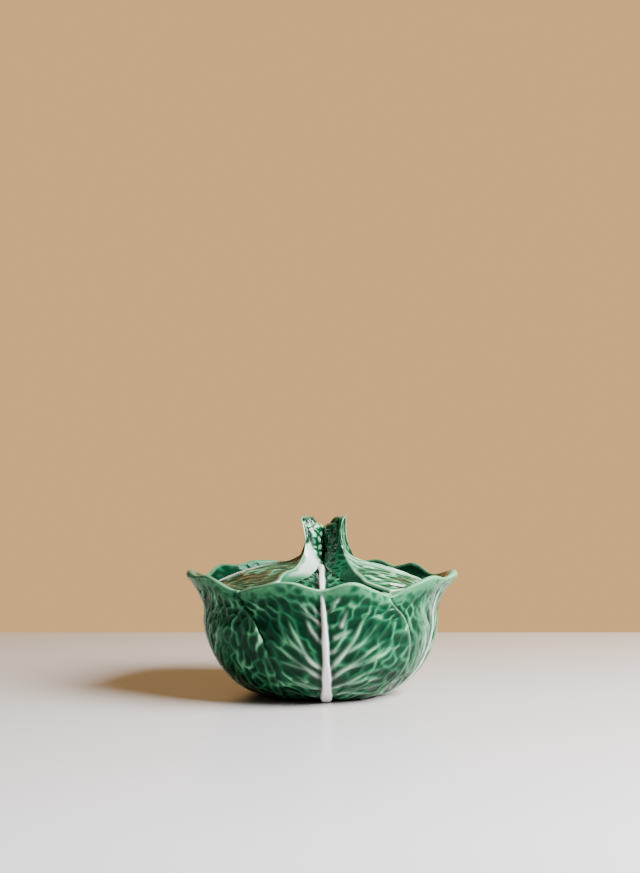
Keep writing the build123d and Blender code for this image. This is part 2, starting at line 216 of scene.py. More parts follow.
class LeafMap:
    """Veins and cells of a leaf, worked out once on a flat grid and then looked up."""

    STEP = 0.5  # between the grid's points
    RIDGE = 2.25  # half width of the ridges between cells
    END_WEAKNESS = 0.3  # how much fainter a cell's ends are than its long sides
    FADE = 38.0  # distance from the midrib over which the cells change
    VEIN_STEP = 0.7  # between a vein's stamped spots
    TRIES = 9000  # places tried as cell centres
    BAND = 12  # grid rows filled at a time

    def __init__(self, seed, reach, length, cell, stretch, headings):
        """Cell sizes and stretches are at the midrib and far from it, headings at the base and tip."""
        self.random = np.random.default_rng(seed)
        self.cell = cell
        self.stretch = stretch
        self.headings = headings
        self.across = np.arange(-reach, reach + self.STEP, self.STEP)
        self.along = np.arange(-6.0, length + self.STEP, self.STEP)
        shape = (len(self.along), len(self.across))
        self.vein = np.zeros(shape, np.float32)
        self.rib = np.zeros(shape, np.float32)
        self.trench = np.zeros(shape, np.float32)
        self.seeds = []

    def stamp(self, point, width, strength):
        """Marks one round spot of a side vein."""
        reach = int(2 * width / self.STEP) + 2
        column = int(round((point[0] - self.across[0]) / self.STEP))
        row = int(round((point[1] - self.along[0]) / self.STEP))
        rows = slice(max(0, row - reach), max(0, row + reach + 1))
        columns = slice(max(0, column - reach), max(0, column + reach + 1))
        distance = np.hypot(self.across[columns][None, :] - point[0], self.along[rows][:, None] - point[1])
        if distance.size:
            spot = strength * np.exp(-((distance / width) ** 2))
            self.vein[rows, columns] = np.maximum(self.vein[rows, columns], spot)

    def draw_vein(self, across, along, first, last, length, strength, forks=0):
        """Draws a side vein whose heading turns from first to last, in degrees from the midrib."""
        point = np.array([across, along], float)
        sway = self.random.uniform(-11, 11)
        fork_at = length * self.random.uniform(0.3, 0.45) if forks else length * 2
        cell = self.cell[0]
        next_seed = cell * 0.5
        travel = 0.0
        while travel < length:
            part = travel / length
            heading = first + (last - first) * part + sway * math.sin(travel / 6.0)
            turn = math.radians(heading)
            step = np.array([math.sin(turn), math.cos(turn)]) * self.VEIN_STEP
            point = point + step
            travel += self.VEIN_STEP
            ends = max(0.0, min(1.0, (length - travel) / 9.0))
            swell = 0.82 + 0.18 * math.sin(travel / 4.3 + sway)
            self.stamp(point, 2.3 - 0.7 * part, strength * (1 - 0.35 * part) * ends * swell)
            if travel > next_seed:
                beside = np.array([step[1], -step[0]]) / self.VEIN_STEP * cell * 0.42
                self.seeds += [point + beside, point - beside]
                next_seed += cell * self.random.uniform(1.1, 1.7)
            if travel > fork_at:
                side = math.copysign(1.0, first)
                split = heading + side * self.random.uniform(18, 34)
                self.draw_vein(point[0], point[1], split, last + side * 12, (length - travel) * 0.85,
                               strength * (1 - 0.35 * part) * 0.9, forks - 1)
                forks -= 1
                fork_at = travel + length * self.random.uniform(0.2, 0.3) if forks > 0 else length * 2

    def draw_rib(self, widths, soft_end):
        """Draws the midrib from its (along, half width) points, and the trenches beside it."""
        width = np.interp(self.along, *np.array(widths, float).T)[:, None]
        width = width * (1 + 0.1 * np.sin(self.along / 5.1 + self.random.uniform(0, 6)))[:, None]
        distance = np.abs(self.across)[None, :]
        ending = (1 - smooth(soft_end[0], soft_end[1], self.along))[:, None]
        self.rib = ((1 - smooth(0.72, 1.08, distance / width)) * ending).astype(np.float32)
        self.trench = (np.exp(-((distance - width - 1.6) / 1.9) ** 2) * ending).astype(np.float32)

    def draw_veins(self, start, end, gap, first, last, length, forks=2, strength=1.0, base=0.0):
        """Draws uneven side veins along both sides of the midrib, from a little way off it."""
        for side in (-1, 1):
            place = start + self.random.uniform(0, gap * 0.6)
            while place < end:
                left = 1 - 0.6 * ((place - start) / (end - start)) ** 2
                heading = side * (first + self.random.uniform(-7, 7))
                ending = side * (last + self.random.uniform(-9, 9))
                strong = self.random.uniform(0.75, 1.0) * strength
                self.draw_vein(side * base, place, heading, ending, length * left, strong, forks)
                place += gap * self.random.uniform(0.7, 1.3)

    def cell_shape(self, across, along):
        """Size, stretch and lengthwise direction of the cells at places on the leaf."""
        near = np.exp(-np.abs(across) / self.FADE)
        size = self.cell[1] + (self.cell[0] - self.cell[1]) * near
        stretch = self.stretch[1] + (self.stretch[0] - self.stretch[1]) * near
        part = np.clip(along / self.along[-1], 0, 1)
        turn = np.radians(self.headings[0] + (self.headings[1] - self.headings[0]) * part) * np.sign(across)
        return size, stretch, np.sin(turn), np.cos(turn)

    @staticmethod
    def stretched(dx, dy, stretch, lean_x, lean_y):
        """Distances that count less along a cell's length than across it."""
        ahead = (dx * lean_x + dy * lean_y) / np.sqrt(stretch)
        aside = (dx * lean_y - dy * lean_x) * np.sqrt(stretch)
        return np.sqrt(ahead ** 2 + aside ** 2)

    def scatter(self):
        """Cell centres along the veins and, spaced out, everywhere else."""
        low = np.array([self.across[0], self.along[0]])
        high = np.array([self.across[-1], self.along[-1]])
        kept = np.zeros((0, 2))
        tries = [(seed, 0.66) for seed in self.seeds if np.all(seed > low) and np.all(seed < high)]
        tries += [(seed, 0.86) for seed in self.random.uniform(low, high, (self.TRIES, 2))]
        for seed, spacing in tries:
            size, stretch, lean_x, lean_y = self.cell_shape(*seed)
            away = self.stretched(kept[:, 0] - seed[0], kept[:, 1] - seed[1], stretch, lean_x, lean_y)
            if not len(kept) or np.min(away) > size * spacing:
                kept = np.vstack([kept, seed])
        return kept

    def fill(self):
        """Fills the space between the veins with cells, divided by ridges of uneven strength."""
        kept = self.scatter()
        _, stretch, lean_x, lean_y = self.cell_shape(kept[:, 0], kept[:, 1])
        depth = self.random.uniform(0.55, 1.0, len(kept))
        mark = self.random.uniform(0, 1, len(kept))
        self.ridge = np.zeros(self.rib.shape, np.float32)
        self.depth = np.zeros(self.rib.shape, np.float32)
        flat_across, flat_along = np.meshgrid(self.across, self.along)
        warped_across = flat_across + 0.9 * waves(self.random, flat_across, flat_along, 15)
        warped_along = flat_along + 0.9 * waves(self.random, flat_across, flat_along, 15)
        for first in range(0, len(self.along), self.BAND):
            band = slice(first, first + self.BAND)
            near = np.abs(kept[:, 1] - self.along[band].mean()) < 34
            dx = warped_across[band][..., None] - kept[near, 0]
            dy = warped_along[band][..., None] - kept[near, 1]
            distance = self.stretched(dx, dy, stretch[near], lean_x[near], lean_y[near])
            order = np.argpartition(distance, 2, axis=2)[..., :3]
            closest = np.take_along_axis(distance, order, 2)
            ranked = np.argsort(closest, axis=2)
            order = np.take_along_axis(order, ranked, 2)
            closest = np.take_along_axis(closest, ranked, 2)
            nearest = order[..., 0]
            total = 0.0
            for other in (1, 2):
                pair = (mark[near][nearest] + mark[near][order[..., other]]) * 57.0
                strength = 0.3 + 0.7 * (pair - np.floor(pair))
                apart = kept[near][order[..., other]] - kept[near][nearest]
                ahead = apart[..., 0] * lean_x[near][nearest] + apart[..., 1] * lean_y[near][nearest]
                strength = strength * (1 - self.END_WEAKNESS * (ahead / np.linalg.norm(apart, axis=-1)) ** 2)
                half = (closest[..., other] - closest[..., 0]) / 2
                total = np.maximum(total, strength * np.exp(-((half / self.RIDGE) ** 2)))
            self.ridge[band] = total
            self.depth[band] = depth[near][nearest]

    def finish(self, cell_depth, vein_height, rib_height, whiten):
        """Relief in millimetres, and how pale and how white each place is."""
        flat_across, flat_along = np.meshgrid(self.across, self.along)
        vein = self.vein * (1 - 0.5 * self.trench)
        ridge = np.maximum(self.ridge * (1 - 0.75 * self.trench), vein)
        relief = -cell_depth * self.depth * (1 - ridge) + vein_height * vein - 0.5 * self.trench
        relief = relief * (1 - self.rib) + rib_height * self.rib
        patchy = 0.5 + 0.5 * waves(self.random, flat_across, flat_along, 30)
        pale = np.maximum(self.ridge * (0.64 + 0.26 * patchy), vein * 0.95) * (1 - 0.6 * self.trench)
        pale = pale + 0.12 * patchy * (1 - self.trench)
        near_rib = np.exp(-np.abs(self.across) / whiten)[None, :]
        white = np.maximum(self.rib, np.clip(vein ** 1.5 * near_rib * 1.2, 0, 0.85))
        self.layers = [self.blurred(relief, 3), self.blurred(np.maximum(pale, self.rib), 1),
                       self.blurred(white, 1)]
        return self

    @staticmethod
    def blurred(layer, passes):
        """The layer with its finest steps smoothed away."""
        for _ in range(passes):
            for axis in (0, 1):
                layer = (np.roll(layer, 1, axis) + 2 * layer + np.roll(layer, -1, axis)) / 4
        return layer

    def look_up(self, across, along):
        """Relief, paleness and whiteness at places on the leaf."""
        across, along = np.broadcast_arrays(across, along)
        column = np.clip((across - self.across[0]) / self.STEP, 0, len(self.across) - 1.001)
        row = np.clip((along - self.along[0]) / self.STEP, 0, len(self.along) - 1.001)
        left, low = column.astype(int), row.astype(int)
        right_part, high_part = column - left, row - low
        found = []
        for layer in self.layers:
            lower = layer[low, left] * (1 - right_part) + layer[low, left + 1] * right_part
            upper = layer[low + 1, left] * (1 - right_part) + layer[low + 1, left + 1] * right_part
            found.append(lower * (1 - high_part) + upper * high_part)
        return found


def blank_layers(shape):
    """Zero at every point, for each value that the glaze reads."""
    return {key: np.zeros(shape) for key in LAYERS}


def outward(points, quads, caps):
    """The faces, turned over if the quads' volume says that they look inwards."""
    corner = points[quads]
    volume = np.sum(np.cross(corner[:, 0], corner[:, 1]) * corner[:, 2])
    volume += np.sum(np.cross(corner[:, 0], corner[:, 2]) * corner[:, 3])
    faces = quads.tolist() + caps
    return [face[::-1] for face in faces] if volume < 0 else faces


def loop_mesh(name, grid, layers, loop_axis, material):
    """Closed mesh from a grid that runs round in one direction, with its two ends capped."""
    if loop_axis == 1:
        grid = np.swapaxes(grid, 0, 1)
        layers = {key: layer.T for key, layer in layers.items()}
    rows, columns = grid.shape[:2]
    index = np.arange(rows * columns).reshape(rows, columns)
    after = np.roll(index, -1, axis=0)
    quads = np.stack([index[:, :-1], index[:, 1:], after[:, 1:], after[:, :-1]], axis=-1).reshape(-1, 4)
    points = grid.reshape(-1, 3)
    caps = [index[::-1, 0].tolist(), index[:, -1].tolist()]
    return mesh_object(name, points, outward(points, quads, caps), layers, material)


def added(name, data):
    """Object in the scene."""
    piece = bpy.data.objects.new(name, data)
    bpy.context.scene.collection.objects.link(piece)
    return piece


def mesh_object(name, points, faces, layers, material):
    """Blender object from points in millimetres."""
    mesh = bpy.data.meshes.new(name)
    mesh.from_pydata((points * MM).tolist(), [], faces)
    mesh.polygons.foreach_set("use_smooth", [True] * len(mesh.polygons))
    for key, layer in layers.items():
        attribute = mesh.attributes.new(key, "FLOAT", "POINT")
        attribute.data.foreach_set("value", np.asarray(layer, np.float32).ravel())
    mesh.materials.append(material)
    mesh.update()
    return added(name, mesh)


def turned_mesh(name, profile, material, pale=None):
    """Closed mesh turned about the axis from (radius, height) points that run all the way round."""
    radius, height = np.array(profile, float).T
    angle = np.linspace(-180, 180, TURNED_SEGMENTS, endpoint=False)
    grid = polar(angle[None, :], radius[:, None], height[:, None])
    index = np.arange(len(radius) * TURNED_SEGMENTS).reshape(len(radius), TURNED_SEGMENTS)
    below = np.roll(index, -1, axis=0)
    quads = np.stack([index, np.roll(index, -1, 1), np.roll(below, -1, 1), below], axis=-1).reshape(-1, 4)
    layers = {}
    if pale is not None:
        layers = blank_layers(index.shape)
        layers["pale"][:] = pale
    points = grid.reshape(-1, 3)
    return mesh_object(name, points, outward(points, quads, []), layers, material)


# Materials

LAYERS = ("pale", "white", "lip", "shade", "tan")
GREEN_RAMP = [(0.0, (0.001, 0.013, 0.006)), (0.22, (0.002, 0.027, 0.012)), (0.45, (0.007, 0.078, 0.033)),
              (0.72, (0.06, 0.26, 0.117)), (1.0, (0.32, 0.64, 0.4))]
# White and ivory of the ribs, also used for the painted reflection of the window on the handle's flank
RIB_AND_REFLECTION_WHITE = (0.82, 0.81, 0.78, 1)
RIB_AND_REFLECTION_IVORY = (0.6724, 0.6642, 0.5772, 1)
LIP_GREEN = (0.24, 0.52, 0.29, 1)
# Brown tint, partly the glaze's own and partly a painted reflection of the warm wall
TAN_AND_WALL_REFLECTION = (0.088, 0.074, 0.038, 1)
SHADE = (0.16, 0.2, 0.17, 1)
CLAY_DARK = (0.62, 0.47, 0.33, 1)
CLAY_LIGHT = (0.8, 0.68, 0.52, 1)

# Noise scales in waves a metre, the flow's change of paleness, and bump heights in metres
FLOW_SCALE = 90
FLOW_DEPTH = 0.09
AGEING_SCALE = 60
GLOSS_SCALE = 220
RIPPLE_SCALE = 420
RIPPLE_DEPTH = 0.00012
SPECK_SCALE = 900
GRAIN_SCALE = 1500
GRAIN_DEPTH = 0.00015


class Paint:
    """A node material, and short ways to add to it."""

    def __init__(self, name):
        self.material = bpy.data.materials.new(name)
        self.material.use_nodes = True
        self.new = self.material.node_tree.nodes.new
        self.link = self.material.node_tree.links.new
        self.shader = self.material.node_tree.nodes["Principled BSDF"].inputs

    def attribute(self, name):
        """A value stored on the mesh."""
        node = self.new("ShaderNodeAttribute")
        node.attribute_name = name
        return node.outputs["Fac"]

    def mixed(self, factor, first, second, kind="MIX"):
        """Colour mix of two sockets or colours."""
        node = self.new("ShaderNodeMix")
        node.data_type = "RGBA"
        node.blend_type = kind
        for socket, value in ((node.inputs[0], factor), (node.inputs[6], first), (node.inputs[7], second)):
            if isinstance(value, bpy.types.NodeSocket):
                self.link(value, socket)
            else:
                socket.default_value = value
        return node.outputs[2]

    def noise(self, scale, detail, roughness=0.5):
        """Noise in the object's own space, in waves a metre."""
        place = self.new("ShaderNodeTexCoord")
        node = self.new("ShaderNodeTexNoise")
        node.inputs["Scale"].default_value = scale
        node.inputs["Detail"].default_value = detail
        node.inputs["Roughness"].default_value = roughness
        self.link(place.outputs["Object"], node.inputs["Vector"])
        return node.outputs["Fac"]

    def scaled(self, value, from_low, from_high, to_low, to_high):
        """Value moved from one range to another."""
        node = self.new("ShaderNodeMapRange")
        self.link(value, node.inputs["Value"])
        ends = (("From Min", from_low), ("From Max", from_high), ("To Min", to_low), ("To Max", to_high))
        for key, end in ends:
            node.inputs[key].default_value = end
        return node.outputs["Result"]

    def bump(self, height, strength, distance):
        """Fine bumps, distance in metres."""
        node = self.new("ShaderNodeBump")
        node.inputs["Strength"].default_value = strength
        node.inputs["Distance"].default_value = distance
        self.link(height, node.inputs["Height"])
        self.link(node.outputs["Normal"], self.shader["Normal"])


def glaze(name, gloss, tint):
    """Glossy green glaze, deep in the cells and thin on veins, ribs and edges."""
    paint = Paint(name)
    colours = paint.new("ShaderNodeValToRGB")
    colours.color_ramp.interpolation = "B_SPLINE"
    while len(colours.color_ramp.elements) < len(GREEN_RAMP):
        colours.color_ramp.elements.new(0.5)
    for element, (place, colour) in zip(colours.color_ramp.elements, GREEN_RAMP):
        element.position = place
        element.color = (*colour, 1)
    flow = paint.new("ShaderNodeMath")
    flow.operation = "ADD"
    paint.link(paint.attribute("pale"), flow.inputs[0])
    paint.link(paint.scaled(paint.noise(FLOW_SCALE, 3), 0, 1, -FLOW_DEPTH, FLOW_DEPTH), flow.inputs[1])
    paint.link(flow.outputs[0], colours.inputs["Fac"])
    green = paint.mixed(paint.attribute("lip"), colours.outputs["Color"], LIP_GREEN)
    ageing = paint.scaled(paint.noise(AGEING_SCALE, 2), 0.4, 0.7, 0, 0.35)
    ivory = paint.mixed(ageing, RIB_AND_REFLECTION_WHITE, RIB_AND_REFLECTION_IVORY)
    # White of the ribs and veins, and on the left handle leaf's flank a painted reflection of the window
    # light
    glazed = paint.mixed(paint.attribute("white"), green, ivory)
    # Brown tint, partly the glaze's own and partly a painted reflection of the warm wall
    with_tan_and_reflection = paint.mixed(paint.attribute("tan"), glazed, TAN_AND_WALL_REFLECTION)
    shaded = paint.mixed(paint.attribute("shade"), with_tan_and_reflection, SHADE, "MULTIPLY")
    paint.link(shaded, paint.shader["Base Color"])
    roughness = paint.scaled(paint.noise(GLOSS_SCALE, 2), 0.3, 0.7, 0.1, 0.2)
    paint.link(roughness, paint.shader["Roughness"])
    paint.shader["IOR"].default_value = gloss
    paint.shader["Specular Tint"].default_value = (*tint, 1)
    paint.bump(paint.noise(RIPPLE_SCALE, 2), 0.5, RIPPLE_DEPTH)
    return paint.material


def clay():
    """Bare fired clay of the foot ring."""
    paint = Paint("bare_clay")
    colour = paint.mixed(paint.noise(SPECK_SCALE, 4, 0.7), CLAY_DARK, CLAY_LIGHT)
    paint.link(colour, paint.shader["Base Color"])
    paint.shader["Roughness"].default_value = 0.85
    paint.bump(paint.noise(GRAIN_SCALE, 3), 0.6, GRAIN_DEPTH)
    return paint.material


WALL_GLAZE = glaze("wall_glaze", 1.23, (0.35, 1.0, 0.62))
LID_GLAZE = glaze("lid_leaf_glaze", 1.52, (1, 1, 1))


# Bowl

BELLY_RADII, BELLY_HEIGHTS = np.array(BELLY, float).T
BELLY_STEPS = np.hypot(np.diff(BELLY_RADII), np.diff(BELLY_HEIGHTS))
BELLY_PLACES = np.concatenate([[0], np.cumsum(BELLY_STEPS)])
BELLY_LENGTH = float(BELLY_PLACES[-1])
WALL_LENGTH = BELLY_LENGTH + FLARE_LENGTH

# The wall's leaves: where the midrib and the relief end, and cells near the midrib and far from it
RIB_END = (WALL_LENGTH - 11, WALL_LENGTH - 2)
RIM_BAND = (WALL_LENGTH - 20, WALL_LENGTH - 7)
CELL_DEPTH = 2.0
VEIN_HEIGHT = 0.9
RIB_HEIGHT = 1.4
CELL_SIZES = (14.0, 9.6)
CELL_STRETCHES = (3.0, 1.7)
RIB_WIDTHS = [(0, 5.4), (30, 4.7), (62, 3.1), (100, 2.3), (124, 1.7), (142, 1.1)]
DIMPLE_SIZE = 9.0
DIMPLE_BORDER = 2.2
BUMP_SIZE = 12.0
BUMP_BORDER = 3.0
LAP_STEP = 1.5
LAP_FADE = 26.0
LAP_WIDTH = 8.0
BURIED_DEPTH = 4.0
ROLL_DEPTH = 3.2
UNDER_DEPTH = 1.6
INSIDE_SAG = 1.5
LEDGE_OVERLAP = 0.4
MAP_REACH = 112.0
LAP_EDGE = np.array([2.4, 2.0, 1.6, 1.2, 0.85, 0.55, 0.3, 0.12, 0.0])


def lip_thickness(angle):
    """Half the rim's thickness, which is fuller at the tips of the side leaves."""
    from_tip = np.abs(wrapped(angle)) - TIP_ANGLE
    return RIM_HALF_THICKNESS + TIP_EXTRA * np.exp(-((from_tip / TIP_SPREAD) ** 2))


def rim_frame(angle):
    """Centre of the rolled rim, and the directions up along the wall and out of it."""
    top, radius = rim_at(angle)
    out = (radius - BELLY_RADIUS) * FLARE_POWER
    up = top - FLARE_START
    length = np.hypot(out, up)
    wall = (out / length, up / length)
    thick = lip_thickness(angle)
    return radius - thick, top - thick + 0.1, wall, (wall[1], -wall[0])


def wall_section(along, angle):
    """Radius and height of the wall's outside, without relief."""
    centre_radius, centre_height, _, out = rim_frame(angle)
    part = np.clip((along - BELLY_LENGTH) / FLARE_LENGTH, 0, 1)
    thick = lip_thickness(angle)
    end_radius = centre_radius + out[0] * thick
    end_height = centre_height + out[1] * thick
    flare_radius = BELLY_RADIUS + (end_radius - BELLY_RADIUS) * part ** FLARE_POWER
    flare_height = FLARE_START + (end_height - FLARE_START) * part
    held = np.clip(along, 0, BELLY_LENGTH)
    belly_radius = curve(BELLY_PLACES, BELLY_RADII, held)
    belly_height = curve(BELLY_PLACES, BELLY_HEIGHTS, held)
    on_belly = along <= BELLY_LENGTH
    return np.where(on_belly, belly_radius, flare_radius), np.where(on_belly, belly_height, flare_height)


def undulation(seed, grid, size, height):
    """Slow hand-made unevenness over a grid of points."""
    random = np.random.default_rng(seed)
    total = np.zeros(grid.shape[:2])
    for _ in range(7):
        direction = random.normal(size=3)
        direction *= 2 * math.pi / (size * random.uniform(0.7, 1.6) * np.linalg.norm(direction))
        total += np.sin(grid @ direction + random.uniform(0, 6.28))
    return total * height / 2.6


def wall_columns(along, laps):
    """Angles over a wall leaf, and how far each place is from its left and right laps."""
    at = np.clip(along, LAP_PLACES[0], LAP_PLACES[-1])
    left = curve(LAP_PLACES, laps[0], at)
    right = left + (curve(LAP_PLACES, laps[1], at) - left) % 360
    scale = DEGREES / np.interp(along, BELLY_PLACES, BELLY_RADII)
    left_end = left - LAP_WIDTH * scale
    main = np.linspace(0, 1, 278)[:-1]
    columns = left_end[:, None] + (right - LAP_EDGE[0] * scale - left_end)[:, None] * main[None, :]
    angle = np.hstack([columns, right[:, None] - LAP_EDGE[None, :] * scale[:, None]])
    return angle, (angle - left[:, None]) / scale[:, None], (right[:, None] - angle) / scale[:, None]


def rolled_rim(angle):
    """The rolled rim, the inside below it down to the ledge, and the turn of the rim's rows."""
    radius, height, up, out = rim_frame(angle)
    thick = lip_thickness(angle)
    turn = np.radians(np.linspace(12, 168, 12))[:, None]
    lip = polar(angle[None, :], radius + thick * (out[0] * np.cos(turn) + up[0] * np.sin(turn)),
                height + thick * (out[1] * np.cos(turn) + up[1] * np.sin(turn)))
    part = np.linspace(1, 0, 34)[:, None]
    inner_radius = radius - out[0] * thick
    inner_height = height - out[1] * thick
    sag = INSIDE_SAG * np.sin(np.pi * part)
    low = SEAT_HEIGHT - LEDGE_OVERLAP
    inside = polar(angle[None, :], SEAT_OUTER_RADIUS + (inner_radius - SEAT_OUTER_RADIUS) * part + sag,
                   low + (inner_height - SEAT_HEIGHT + LEDGE_OVERLAP) * part)
    return lip, inside, turn


def wall_map(seed, reach, veins, ribs):
    """Veins and cells of a wall leaf."""
    rib_width, _, whiten = ribs
    leaf_map = LeafMap(seed, reach, WALL_LENGTH, CELL_SIZES, CELL_STRETCHES, (64, 26))
    if isinstance(veins, list):
        for vein in veins:
            leaf_map.draw_vein(*vein)
    else:
        gap, first, last = veins
        leaf_map.draw_veins(8, WALL_LENGTH - 26, gap, first, last, 85)
        leaf_map.headings = (first + 8, last)
    widths = [(place, width * rib_width) for place, width in RIB_WIDTHS]
    leaf_map.draw_rib(widths, RIB_END)
    leaf_map.fill()
    return leaf_map.finish(CELL_DEPTH, VEIN_HEIGHT, RIB_HEIGHT * rib_width, whiten)


def lap_shape(rows, near_foot, from_left, from_right):
    """Lift of a leaf's right edge over the next leaf, its roll there, and its left edge's place under."""
    low_rim = 1 - 0.8 * smooth(WALL_LENGTH - 10, WALL_LENGTH, rows)
    under = 1 - smooth(-5.0, 0.5, from_left)
    roll = np.clip(1 - from_right / LAP_EDGE[0], 0, 1)
    lifted = LAP_STEP * np.exp(-np.maximum(from_right, 0) / LAP_FADE) * (1 - near_foot) * low_rim
    lifted -= ROLL_DEPTH * (1 - np.sqrt(np.clip(1 - roll ** 2, 0, 1)))
    lifted -= UNDER_DEPTH * under
    return lifted, roll, under


def inner_shape(inside, seed, from_left, from_right):
    """Bumps of the inside below the rim, how high they are, and its ends tucked in at the laps."""
    bump = 1 - np.exp(-((pebbles(inside, BUMP_SIZE, seed + 50) / BUMP_BORDER) ** 2))
    fade = np.sin(np.pi * np.linspace(0.05, 0.98, len(inside)))[:, None]
    left_end = np.clip(1 - (from_left + LAP_WIDTH) / 2.2, 0, 1)[None, :]
    right_end = 1 - smooth(2.0, LAP_WIDTH, from_right)[None, :]
    offset = (1.3 * bump - 0.9) * fade
    offset -= 1.5 * (1 - np.sqrt(1 - left_end ** 2)) + 1.0 * right_end
    return offset, bump


def wall_leaf(name, centre, lean, laps, seed, veins, ribs, edge_pale_and_highlight):
    """One leaf of the bowl's wall, from the foot over the rim to the lid's ledge.

    veins are drawn one by one from a list or given as the gap, first and last heading for uneven ones.  ribs
    are the midrib's width as a part of the front leaf's, its whiteness, and how far the whiteness reaches.
    """
    flare = np.linspace(BELLY_LENGTH, WALL_LENGTH, 63)[1:]
    along = np.concatenate([np.linspace(0, BELLY_LENGTH, 158), flare])
    angle, from_left, from_right = wall_columns(along, laps)
    radius, height = wall_section(along[:, None], angle)
    outside = polar(angle, radius, height)
    lip, inside, turn = rolled_rim(angle[-1])
    rib_angle = centre + lean * (1 - along / WALL_LENGTH)
    across = np.radians(wrapped(angle - rib_angle[:, None])) * radius
    leaf_map = wall_map(seed, max(MAP_REACH, np.abs(across).max() + 2), veins, ribs)
    rows = along[:, None]
    relief, pale, white = leaf_map.look_up(across, rows)

    near_rim = smooth(*RIM_BAND, rows)
    near_foot = 1 - smooth(1, 9, rows)
    margin = 1 - smooth(0.5, 4.5, from_right)
    lifted, roll, under = lap_shape(rows, near_foot, from_left, from_right)
    relief = relief * (1 - 0.8 * near_rim) * (1 - 0.75 * near_foot) * (1 - 0.9 * margin) * (1 - under)

    whole = np.concatenate([outside, lip, inside])
    normals = sheet_normals(whole)
    if np.sum(normals[60, 100] * whole[60, 100] * (1, 1, 0)) < 0:
        normals = -normals
    out_rows = slice(0, len(outside))
    lip_rows = slice(len(outside), len(outside) + len(lip))
    in_rows = slice(len(outside) + len(lip), len(whole))
    offset = np.zeros(whole.shape[:2])
    offset[out_rows] = relief + lifted
    offset[out_rows] += undulation(seed, outside, 46, 0.5) * (1 - near_foot) * (1 - roll)
    fade_in = np.linspace(1, 0, len(lip) + 6)[:len(lip), None]
    offset[lip_rows] = offset[len(outside) - 1][None, :] * fade_in
    offset[in_rows], bump = inner_shape(inside, seed, from_left[-1], from_right[-1])
    moved = whole + normals * offset[..., None]
    moved[out_rows, :, 2] = np.maximum(moved[out_rows, :, 2], 0.0)

    # The leaf's back lies inside the core
    steps = np.searchsorted(along, np.linspace(WALL_LENGTH * 0.86, 6.0, 10))
    buried = outside[steps] - normals[steps] * BURIED_DEPTH
    grid = np.concatenate([moved, buried])

    layers = blank_layers(grid.shape[:2])
    dimples = np.exp(-((pebbles(outside, DIMPLE_SIZE, seed + 70) / DIMPLE_BORDER) ** 2))
    rim_pale = 0.24 + 0.34 * dimples + 0.08 * smooth(WALL_LENGTH - 8, WALL_LENGTH, rows)
    layers["pale"][out_rows] = pale + (rim_pale - pale) * near_rim * (1 - white)
    layers["pale"][lip_rows] = 0.6
    layers["pale"][in_rows] = 0.06 + 0.42 * bump
    layers["white"][out_rows] = white * (1 - under) * ribs[1]
    crest = np.exp(-(((np.degrees(turn) - LIP_CREST) / LIP_SPREAD) ** 2))
    layers["lip"][out_rows] = margin * (1 - roll) * edge_pale_and_highlight
    # Paler crest along the top of the rolled rim: partly where the glaze runs thin, partly a painted
    # highlight
    layers["lip"][lip_rows] = (0.25 + edge_pale_and_highlight) * crest
    layers["lip"][in_rows] = 0.2 * (1 - smooth(0, 0.1, np.linspace(0, 1, len(inside))))[:, None]
    layers["shade"][out_rows] = np.maximum(0.75 * (1 - smooth(0, 5, from_left)), 0.55 * near_foot ** 2)
    piece = loop_mesh(name, grid, layers, 0, WALL_GLAZE)
    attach(piece, "bowl")
    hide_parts("bowl")


def bowl_core():
    """Smooth inside of the bowl with its ledge, floor and glazed recess under the foot."""
    out = [(r - 3.0, z) for r, z in BELLY[1:]]
    points = [(0.01, FOOT_RECESS), (FOOT_INNER_RADIUS - 0.6, FOOT_RECESS), (FOOT_INNER_RADIUS, 1.6),
              (FOOT_INNER_RADIUS + 1.5, 1.0), (50, 1.0)]
    points += [(r, max(z, 2.4)) for r, z in out]
    points += [(102.4, 82), (101.2, 90.2), (100.5, SEAT_HEIGHT), (93, SEAT_HEIGHT), (89, SEAT_HEIGHT)]
    inner = np.array(INSIDE, float)
    step = np.concatenate([[0], np.cumsum(np.hypot(*np.diff(inner, axis=0).T))])
    at = np.linspace(0.8, step[-1], 90)
    points += list(zip(curve(step, inner[:, 0], at), curve(step, inner[:, 1], at)))
    piece = turned_mesh("bowl_core", points, WALL_GLAZE, 0.5)
    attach(piece, "bowl")
    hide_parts("bowl")


def foot_ring():
    """Bare clay ring that the bowl stands on."""
    points = [(FOOT_INNER_RADIUS + 0.3, 2.0), (FOOT_INNER_RADIUS + 0.5, 0.7), (FOOT_INNER_RADIUS + 1.4, 0.0),
              (49.0, 0.0), (50.6, 0.6), (51.5, 2.0)]
    piece = turned_mesh("foot_ring", points, clay())
    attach(piece, "bowl")
    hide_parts("bowl")


# Lid

CORE_DEPTH = 2.7
LEAF_BACK_DEPTH = 3.4

# Places round a side leaf's section: across its outer face, down a side and across its inner face
OUTER_AT = np.linspace(-1, 1, 215)
SIDE_AT = np.linspace(0, 1, 44)[1:-1]
INNER_AT = np.linspace(1, -1, 86)
OUTER = len(OUTER_AT)
INNER = len(INNER_AT)
INNER_FIRST = OUTER + len(SIDE_AT)
LOW_SECTIONS = 9
ROW_SPACING = 0.72
CAP_TILTS = (25, 50, 72, 88)
CAP_LENGTH = 1.5
PEBBLE_BLEND = 7


def dome_height(radius):
    """Height of the lid's dome."""
    return DOME_TOP - (DOME_TOP - LID_EDGE_TOP) * (radius / LID_RADIUS) ** DOME_POWER


